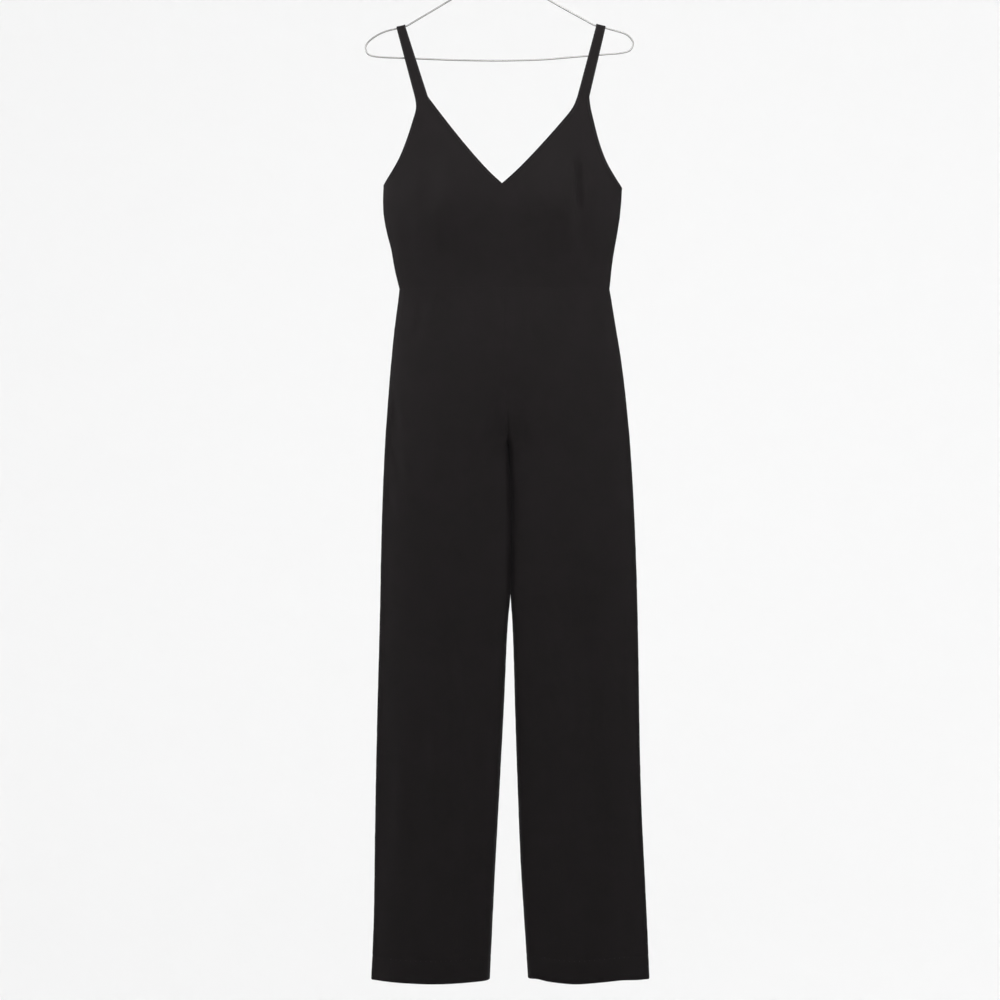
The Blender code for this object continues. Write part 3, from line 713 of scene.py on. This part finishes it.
def skin_facts(piece):
    """What is needed of a bare skin later: its points, its normals, its area and a tree to snap to."""
    where = places(piece.data)
    area = sum(face.area for face in piece.data.polygons)
    tree = BVHTree.FromPolygons(where.tolist(), [list(face.vertices) for face in piece.data.polygons])
    return where, directions(piece.data), area, tree


facts = {name: skin_facts(skin) for name, skin in skins.items()}
for name, skin in skins.items():
    give_wall(skin, borders[name])
    skin.data.materials.append(crepe)
    print(name, "area in square mm:", round(facts[name][2] / MM**2), "triangles:",
          sum(len(face.vertices) - 2 for face in skin.data.polygons))

# %% [markdown]
# ## Stitches
#
# The neckline, the armholes and the straps are turned under and held by a row of edge stitching, and the hem
# by a blind stitch that shows only as small pricks. A stitch is a short length of thread that comes up out
# of the cloth and dives back in. One is drawn out from a small hexagon, section by section, and copied along
# each row, at a fixed distance inside the border. The thread is spun polyester: black like the cloth but
# smoother, so it catches a little more light, and that is all that sets it apart.

# %% Thread
THREAD_RADIUS = 0.27
THREAD_TWIST = 0.6


def thread_material():
    """Twisted thread, a little brighter and smoother than the cloth."""
    material, tree, where = new_material("black spun polyester thread")
    twist = node(tree, "ShaderNodeTexNoise", {"Vector": where, "Scale": per_mm(THREAD_TWIST), "Detail": 1.0})
    colour = node(tree, "ShaderNodeMix", {
        "Factor": twist.outputs["Fac"], "A": linear("#151314"), "B": linear("#1f1d1e")}, data_type="RGBA")
    bump = node(tree, "ShaderNodeBump", {"Height": twist.outputs["Fac"], "Strength": 0.4, "Distance": 0.1 * MM})
    finish_material(tree, base_color=colour.outputs["Result"], normal=bump.outputs["Normal"], roughness=0.6,
                    specular_ior_level=0.25)
    return material


# %% One stitch, and copies of it
Section = namedtuple("Section", "along height size")
STITCH_SECTIONS = [Section(-0.50, -0.30, 0.5), Section(-0.34, 0.06, 0.95), Section(-0.10, 0.14, 1.0),
                   Section(0.10, 0.14, 1.0), Section(0.34, 0.06, 0.95), Section(0.50, -0.30, 0.5)]


def stitch_model(length):
    """One stitch along X, with +Z out of the cloth, drawn out section by section."""
    first = STITCH_SECTIONS[0]
    size = THREAD_RADIUS * MM
    model = begin(bpy.ops.mesh.primitive_circle_add, vertices=6, radius=size * first.size,
                  fill_type="NGON", rotation=(0.0, math.pi / 2, 0.0))
    bpy.ops.transform.translate(value=(first.along * length * MM, 0.0, first.height * MM))
    for last, section in zip(STITCH_SECTIONS, STITCH_SECTIONS[1:]):
        step = ((section.along - last.along) * length * MM, 0.0, (section.height - last.height) * MM)
        bpy.ops.mesh.extrude_region_move(TRANSFORM_OT_translate={"value": step})
        centre = (section.along * length * MM, 0.0, section.height * MM)
        grow = section.size / last.size
        bpy.ops.transform.resize(value=(1.0, grow, grow), center_override=centre)
    finish_faces()
    return model


def copies(name, model, spots, material):
    """One piece that holds a copy of a model at each spot: its place, the way it lies, and its out."""
    points = places(model.data)
    faces = [list(face.vertices) for face in model.data.polygons]
    verts, polygons = [], []
    for place, along, out in spots:
        verts.append(place + points @ np.stack([along, np.cross(out, along), out]))
        start = (len(verts) - 1) * len(points)
        polygons += [[start + i for i in face] for face in faces]
    mesh = bpy.data.meshes.new(name)
    mesh.from_pydata((np.vstack(verts) * MM).tolist(), [], polygons)
    mesh.materials.append(material)
    piece = new_piece(name, mesh)
    smooth(piece)
    return piece


# %% Where the stitches go
PROBE = 3.0  # a step from the border that is surely inside the cloth


def unit(vectors):
    """Vectors drawn out or in to the length of 1."""
    return vectors / np.linalg.norm(vectors, axis=-1, keepdims=True)


def inwards(where, out, run):
    """At each point of a run, the way into the cloth, square to the border."""
    line = where[run]
    inward = unit(np.cross(out[run], unit(np.gradient(line, axis=0))))
    middle = len(run) // 2
    ahead = inward[middle] * PROBE
    near = np.linalg.norm(where - (line[middle] + ahead), axis=1).min()
    far = np.linalg.norm(where - (line[middle] - ahead), axis=1).min()
    return inward if near < far else -inward


def row_spots(name, run, inset, pitch):
    """Evenly spaced spots along a run, at a distance inside the border of a skin."""
    where, out, _, tree = facts[name]
    row = where[run] + inwards(where, out, run) * inset
    length = np.concatenate([[0.0], np.cumsum(np.linalg.norm(np.diff(row, axis=0), axis=1))])
    spots = []
    for distance in np.arange(inset + pitch / 2, length[-1] - inset, pitch):
        place, ahead = (np.array([np.interp(d, length, row[:, i]) for i in range(3)])
                        for d in (distance, distance + pitch / 4))
        snapped, normal, _, _ = tree.find_nearest(place)
        normal = np.array(normal)
        along = ahead - place
        along = unit(along - normal * (along @ normal))
        spots.append((np.array(snapped), along, normal))
    return spots


# %% Rows of stitches
EDGE_STITCH = (2.2, 2.9, 3.4)  # length, pitch and distance from the border
STRAP_STITCH = (2.0, 2.8, 1.7)
HEM_STITCH = (0.9, 7.5, HEM_HEIGHT - 1.0)

thread = thread_material()


def sew(name, members, kinds, stitch):
    """All the rows of one kind of stitch as one piece."""
    length, pitch, inset = stitch
    spots = [spot for member in members for kind, run in borders[member] if kind in kinds
             for spot in row_spots(member, run, inset, pitch)]
    model = stitch_model(length)
    piece = copies(name, model, spots, thread)
    bpy.data.objects.remove(model)
    print(name, "stitches:", len(spots))
    return piece


BODICE = [name for name in PANELS if name.startswith("bodice")]
TROUSERS = [name for name in PANELS if name.startswith("trouser")]
stitches = [
    sew("neckline_and_armhole_stitches", BODICE, ("edge",), EDGE_STITCH),
    sew("strap_stitches", list(STRAPS), ("seam", "edge"), STRAP_STITCH),
    sew("hem_stitches", TROUSERS, ("hem",), HEM_STITCH),
]

# %% [markdown]
# ## The wire hanger
#
# A dry cleaner's hanger is one length of steel wire, 2.5 mm thick. It starts at the tip of the hook, comes
# down the neck, runs out along one arm, back along the bar, up the other arm, and ends in a few tight turns
# round the neck. So it is drawn here as one curve through its bends, with a round bevel, and not as four
# pipes. Drawn steel is bright but not polished: the die leaves fine scratches along the wire, which spread
# its highlights, and handling dulls it in patches.

# %% Steel wire material
SCRATCH_ACROSS = 0.5
DULL_PATCH = 14.0


def wire_material():
    """Bare steel that is duller in patches, with fine scratches."""
    material, tree, where = new_material("drawn steel wire")
    dull = node(tree, "ShaderNodeTexNoise", {"Vector": where, "Scale": per_mm(DULL_PATCH), "Detail": 3.0})
    scratches = node(tree, "ShaderNodeTexNoise",
                     {"Vector": where, "Scale": per_mm(SCRATCH_ACROSS), "Detail": 2.0})
    colour = node(tree, "ShaderNodeMix", {
        "Factor": dull.outputs["Fac"], "A": linear("#6a6a69"), "B": linear("#8d8d8b")}, data_type="RGBA")
    rough = node(tree, "ShaderNodeMapRange", {
        "Value": dull.outputs["Fac"], "From Min": 0.3, "From Max": 0.7, "To Min": 0.4, "To Max": 0.55})
    bump = node(tree, "ShaderNodeBump", {
        "Height": scratches.outputs["Fac"], "Strength": 0.2, "Distance": 0.04 * MM})
    finish_material(tree, base_color=colour.outputs["Result"], roughness=rough.outputs[0],
                    normal=bump.outputs["Normal"], metallic=1.0)
    return material


# %% The wire's bends
WIRE_RADIUS = 1.25
HOOK_INSIDE = 19.0
HOOK_RADIUS = HOOK_INSIDE + WIRE_RADIUS
HOOK_STEPS = 32
HOOK_TIP, HOOK_FOOT = math.radians(200.0), math.radians(-46.0)
NECK = [(9.7, -37.9), (3.2, -50.0), (0.6, -56.0), (0.0, -62.0), (0.0, -70.5), (-1.0, -74.2), (-4.0, -76.0)]
ARM_LEFT = [(-8.0, -77.0), (-74.2, -117.0), (-128.0, -149.0), (-142.5, -157.2), (-153.5, -159.6),
            (-174.0, -165.0), (-193.5, -176.2), (-201.6, -187.5), (-198.0, -198.0), (-186.0, -202.0)]
BAR = [(-147.0, -204.0), (-70.0, -207.0), (0.0, -208.0), (63.0, -206.4), (110.0, -202.6), (159.0, -198.55)]
ARM_RIGHT = [(184.0, -196.2), (195.6, -192.0), (199.6, -181.0), (190.5, -169.4), (171.0, -162.6),
             (155.4, -158.4), (142.0, -155.0), (128.0, -147.6), (73.0, -117.0), (8.4, -77.4)]
WRAP_START = (3.6, -2.0, -74.2)  # the arm comes forward here
WRAP_RADIUS, WRAP_RISE, WRAP_TURNS = 2.54, 2.6, 2.6  # the rise is that of one turn
WRAP_FOOT = -71.6
WRAP_STEPS = 20  # in one turn
BEND_STEPS = 6
CUT_END = 0.8  # the cut ends are burred to this share of the wire's radius


def hook_arc():
    """The hook from its tip, over the crown whose inside is at the origin, to where it joins the neck."""
    for i in range(HOOK_STEPS + 1):
        angle = HOOK_TIP + (HOOK_FOOT - HOOK_TIP) * i / HOOK_STEPS
        yield HOOK_RADIUS * math.cos(angle), 0.0, HOOK_RADIUS * math.sin(angle) - HOOK_INSIDE


def wrap():
    """The turns round the neck, from the front, up and round to the cut end."""
    count = round(WRAP_TURNS * WRAP_STEPS)
    for i in range(count + 1):
        turn = WRAP_TURNS * i / count
        angle = -math.pi / 2 - turn * math.tau
        yield WRAP_RADIUS * math.cos(angle), WRAP_RADIUS * math.sin(angle), WRAP_FOOT + WRAP_RISE * turn


def smooth_route(bends):
    """A smooth curve through bends. Each tangent leans on its neighbours in proportion to their distance."""
    p = [Vector(b) for b in bends]
    p = [2 * p[0] - p[1]] + p + [2 * p[-1] - p[-2]]
    route = []
    for a, b, c, d in zip(p, p[1:], p[2:], p[3:]):
        span = (c - b).length
        leave = (c - a) * (span / (span + (b - a).length))
        arrive = (d - b) * (span / (span + (d - c).length))
        for i in range(BEND_STEPS):
            t = i / BEND_STEPS
            route.append(b * (1 + 2 * t) * (1 - t) ** 2 + leave * t * (1 - t) ** 2
                         + c * t * t * (3 - 2 * t) - arrive * t * t * (1 - t))
    return route + [p[-2]]


# %% Bending the wire
def bend_wire():
    """The whole wire as one curve with a round section, made a mesh."""
    flat = [(x, 0.0, z) for x, z in NECK + ARM_LEFT + BAR + ARM_RIGHT]
    hook = list(hook_arc())
    route = hook[:-2] + smooth_route(hook[-2:] + flat + [WRAP_START]) + list(wrap())
    bpy.ops.object.select_all(action="DESELECT")
    bpy.ops.curve.primitive_nurbs_path_add(location=(0.0, 0.0, 0.0))
    piece = bpy.context.object
    piece.name = "hanger_wire"
    curve = piece.data
    curve.splines.clear()
    spline = curve.splines.new("POLY")
    spline.points.add(len(route) - 1)
    for point, place in zip(spline.points, route):
        point.co = (*(Vector(place) * MM), 1.0)
    for end in (0, -1):
        spline.points[end].radius = CUT_END
    curve.bevel_depth = WIRE_RADIUS * MM
    curve.bevel_resolution = 3
    curve.use_fill_caps = True
    bpy.ops.object.convert(target="MESH")
    piece = bpy.context.object
    select_faces(piece)
    bpy.ops.mesh.select_all(action="SELECT")
    bpy.ops.mesh.remove_doubles(threshold=WELD * MM)
    finish_faces()
    smooth(piece)
    piece.data.materials.clear()
    piece.data.materials.append(wire_material())
    length = sum((Vector(b) - Vector(a)).length for a, b in zip(route, route[1:]))
    print("hanger wire length:", round(length), "mm, faces:", len(piece.data.polygons))
    return piece


hanger = bend_wire()

# %% [markdown]
# ## The closure at the back
#
# A bodice this close needs an opening. It has a zip set into the centre-back seam: a woven tape behind the
# two backs, a nylon coil on its inner face, and a slider whose small eye carries a pull tab. The slider and
# the tab are cast in zinc and painted black, so their edges are round and the paint is a satin skin. Their
# solids have the right shape, so a bevel over them is enough.

# %% Zip materials
TAPE_RIB = 1.6
WORN_PATCH = 3.0


def tape_material():
    """Zip tape is a dense polyester band with fine ribs along it."""
    material, tree, where = new_material("black woven zip tape")
    ribs = node(tree, "ShaderNodeTexWave", {"Vector": where, "Scale": per_mm(TAPE_RIB) / math.tau},
                wave_type="BANDS", bands_direction="X")
    colour = node(tree, "ShaderNodeMix", {
        "Factor": ribs.outputs["Fac"], "A": linear("#0e0d0e"), "B": linear("#171617")}, data_type="RGBA")
    bump = node(tree, "ShaderNodeBump", {"Height": ribs.outputs["Fac"], "Strength": 0.5, "Distance": 0.15 * MM})
    finish_material(tree, base_color=colour.outputs["Result"], normal=bump.outputs["Normal"], roughness=0.7,
                    specular_ior_level=0.15)
    return material


def painted_zinc_material():
    """Satin black paint on a zinc casting, a little uneven where it was handled."""
    material, tree, where = new_material("black painted zinc casting")
    worn = node(tree, "ShaderNodeTexNoise", {"Vector": where, "Scale": per_mm(WORN_PATCH), "Detail": 3.0})
    colour = node(tree, "ShaderNodeMix", {
        "Factor": worn.outputs["Fac"], "A": linear("#161617"), "B": linear("#242425")}, data_type="RGBA")
    rough = node(tree, "ShaderNodeMapRange", {
        "Value": worn.outputs["Fac"], "From Min": 0.3, "From Max": 0.7, "To Min": 0.38, "To Max": 0.52})
    bump = node(tree, "ShaderNodeBump", {
        "Height": worn.outputs["Fac"], "Strength": 0.15, "Distance": 0.05 * MM})
    finish_material(tree, base_color=colour.outputs["Result"], roughness=rough.outputs[0],
                    normal=bump.outputs["Normal"], specular_ior_level=0.35)
    return material


# %% Slider, pull, tape and coil
CAST_ROUND = {"zip_slider": 0.35, "zip_pull": 0.3}
CAST_EDGE = math.radians(35)  # an edge that turns more is rounded
TAPE_SMOOTHING = 2
TAPE_WALL = 0.7
SAME_ROW = 0.2  # points of the tape whose heights differ by less lie in one row
COIL_PITCH = 1.45
COIL_END = 2.0  # the coil stops this short of the tape's ends
COIL_RADIUS, COIL_THREAD = 1.7, 0.34
COIL_FLAT = 0.5  # the coil is pressed to this share of its width

zinc = painted_zinc_material()
castings = {}
for source, width in CAST_ROUND.items():
    piece = node_copy(source, f"painted_{source}")
    modify(piece, "BEVEL", width=width * MM, segments=3, limit_method="ANGLE", angle_limit=CAST_EDGE)
    smooth(piece)
    piece.data.materials.append(zinc)
    castings[source] = piece
    print(piece.name, "faces:", len(piece.data.polygons))

tape = outer_skin("zip_tape", "woven_zip_tape", BACK, levels=TAPE_SMOOTHING)
tape_points = places(tape.data)
give_wall(tape, [("edge", run) for run in border_runs(tape.data)], TAPE_WALL, TAPE_WALL)
tape.data.materials.append(tape_material())


def coil_model():
    """One loop of the coil, pressed flat against the tape."""
    model = begin(bpy.ops.mesh.primitive_torus_add, major_segments=12, minor_segments=4,
                  major_radius=COIL_RADIUS * MM, minor_radius=COIL_THREAD * MM,
                  rotation=(0.0, math.pi / 2, 0.0))
    bpy.ops.transform.resize(value=(1.0, 1.0, COIL_FLAT), center_override=(0.0, 0.0, 0.0))
    bpy.ops.object.mode_set(mode="OBJECT")
    return model


def coil_spots():
    """Down the middle of the tape, on its inner face."""
    rows = np.unique(np.round(tape_points[:, 2], 1))[::-1]
    middle = [tape_points[np.abs(tape_points[:, 2] - z) < SAME_ROW].mean(axis=0) for z in rows]
    middle = np.array([m for m in middle if np.isfinite(m).all()])
    inside = TAPE_WALL + COIL_RADIUS * COIL_FLAT
    for z in np.arange(middle[0, 2] - COIL_END, middle[-1, 2] + COIL_END, -COIL_PITCH):
        x, y = (np.interp(-z, -middle[:, 2], middle[:, i]) for i in (0, 1))
        yield np.array((x, y - inside, z)), np.array((0.0, 0.0, -1.0)), np.array((0.0, -1.0, 0.0))


model = coil_model()
coil = copies("zip_coil", model, list(coil_spots()), thread)
bpy.data.objects.remove(model)
print("coil faces:", len(coil.data.polygons))

# %% [markdown]
# ## Riding on the frame
#
# Each piece is now hung on the body of the frame it moves with, and the solid it stands for is hidden. The
# size each sheet of cloth was cut to is printed: the panel with a seam allowance of 10 mm all round, 40 mm
# for the hem, and what the darts take in.

# %% Cuts and bodies
Cut = namedtuple("Cut", "width length area")
CUTS = {
    "bodice_front": Cut(0.41, 0.33, 0.095),
    "bodice_back_left": Cut(0.22, 0.33, 0.050),
    "bodice_back_right": Cut(0.22, 0.33, 0.050),
    "trouser_front_left": Cut(0.24, 1.09, 0.235),
    "trouser_front_right": Cut(0.24, 1.09, 0.235),
    "trouser_back_left": Cut(0.25, 1.09, 0.240),
    "trouser_back_right": Cut(0.25, 1.09, 0.240),
    "strap_left": Cut(0.020, 0.24, 0.0046),
    "strap_right": Cut(0.020, 0.24, 0.0046),
    "zip_tape": Cut(0.024, 0.28, 0.0067),
}

garment_pieces = {**skins, "zip_tape": tape, "zip_slider": castings["zip_slider"]}
for name, piece in garment_pieces.items():
    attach(piece, "garment")
    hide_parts(name)
for name, cut in CUTS.items():
    print(name, "cut:", cut.width, "x", cut.length, "m")
for piece in stitches + [coil]:
    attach(piece, "garment")
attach(hanger, "garment")
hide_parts("hanger_hook", "hanger_arm_left", "hanger_arm_right", "hanger_bar")
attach(castings["zip_pull"], "zip_pull")
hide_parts("zip_pull")

# %% [markdown]
# ## Studio
#
# The garment hangs in the middle of a wide white bowl, a floor whose rim curves up into a wall with no
# corner, so that its light has no edges. Black cloth shows its folds only where light grazes it, so one
# lamp hangs close in front and high, near the bodice, and two more stand at the garment's sides, the left
# one stronger and almost in its plane. A fourth lights it from behind, and the sky adds an even fill.

# %% Bowl
FLOOR = -3.9
Ring = namedtuple("Ring", "radius rise")
BOWL = [Ring(4.6, 0.0), Ring(5.3, 0.1), Ring(5.8, 0.4), Ring(6.0, 0.85), Ring(6.0, 1.4), Ring(6.0, 7.0)]


def studio_bowl():
    """A disc whose rim is drawn up and out, ring by ring, and smoothed."""
    bowl = begin(bpy.ops.mesh.primitive_circle_add, vertices=96, radius=BOWL[0].radius,
                 fill_type="NGON", location=(0.0, 0.0, FLOOR))
    bowl.name = "studio_bowl"
    bpy.context.tool_settings.mesh_select_mode = (False, True, False)
    bpy.ops.mesh.region_to_loop()
    for last, ring in zip(BOWL, BOWL[1:]):
        bpy.ops.mesh.extrude_edges_move(TRANSFORM_OT_translate={"value": (0.0, 0.0, ring.rise - last.rise)})
        grow = ring.radius / last.radius
        bpy.ops.transform.resize(value=(grow, grow, 1.0), center_override=(0.0, 0.0, FLOOR + ring.rise))
    finish_faces(inside=True)
    modify(bowl, "SUBSURF", levels=1, render_levels=1)
    bpy.ops.object.shade_smooth()
    material, tree, _ = new_material("white painted studio wall")
    finish_material(tree, base_color=linear("#f4f4f4"), roughness=0.9, specular_ior_level=0.1)
    bowl.data.materials.append(material)
    return bowl


studio_bowl()

# %% Lamps and sky
Lamp = namedtuple("Lamp", "name place size power")
LAMPS = [
    Lamp("key", (0.14, -1.0, 0.42), 0.7, 28.0),
    Lamp("right", (1.9, -0.5, -0.3), 1.0, 20.0),
    Lamp("left", (-1.9, -0.15, -0.1), 1.0, 45.0),
    Lamp("back", (-1.2, 2.2, 0.8), 1.2, 36.0),
]
MIDDLE = Vector((0.01, 0.0, -0.87))
SKY = 1.08


def hang_lamp(lamp):
    """A round lamp that looks at the middle of the garment and isn't seen itself."""
    bpy.ops.object.light_add(type="AREA", location=lamp.place)
    light = bpy.context.object
    light.name = f"{lamp.name}_lamp"
    light.data.shape = "DISK"
    light.data.size = lamp.size
    light.data.energy = lamp.power
    light.rotation_mode = "QUATERNION"
    light.rotation_quaternion = (Vector(lamp.place) - MIDDLE).to_track_quat("Z", "Y")
    light.visible_camera = False


for lamp in LAMPS:
    hang_lamp(lamp)
sky = bpy.data.worlds.new("soft white sky")
sky.use_nodes = True
sky.node_tree.nodes["Background"].inputs["Color"].default_value = linear("#ffffff")
sky.node_tree.nodes["Background"].inputs["Strength"].default_value = SKY
bpy.context.scene.world = sky
bpy.context.scene.view_settings.view_transform = "Standard"

# %% [markdown]
# ## Camera
#
# A long lens from 3.2 m away looks straight at the middle of the garment, so that its sides stay parallel.
# The frame cuts off the hook and the hanger's neck.

# %% Camera
CAMERA_DISTANCE = 3.2
VIEW_WIDTH = 1.5
VIEW_MIDDLE = -0.867

bpy.ops.object.camera_add(location=(0.0, -CAMERA_DISTANCE, VIEW_MIDDLE), rotation=(math.pi / 2, 0.0, 0.0))
camera = bpy.context.object
camera.data.lens = camera.data.sensor_width * CAMERA_DISTANCE / VIEW_WIDTH
bpy.context.scene.camera = camera
print("lens:", round(camera.data.lens, 1), "mm")
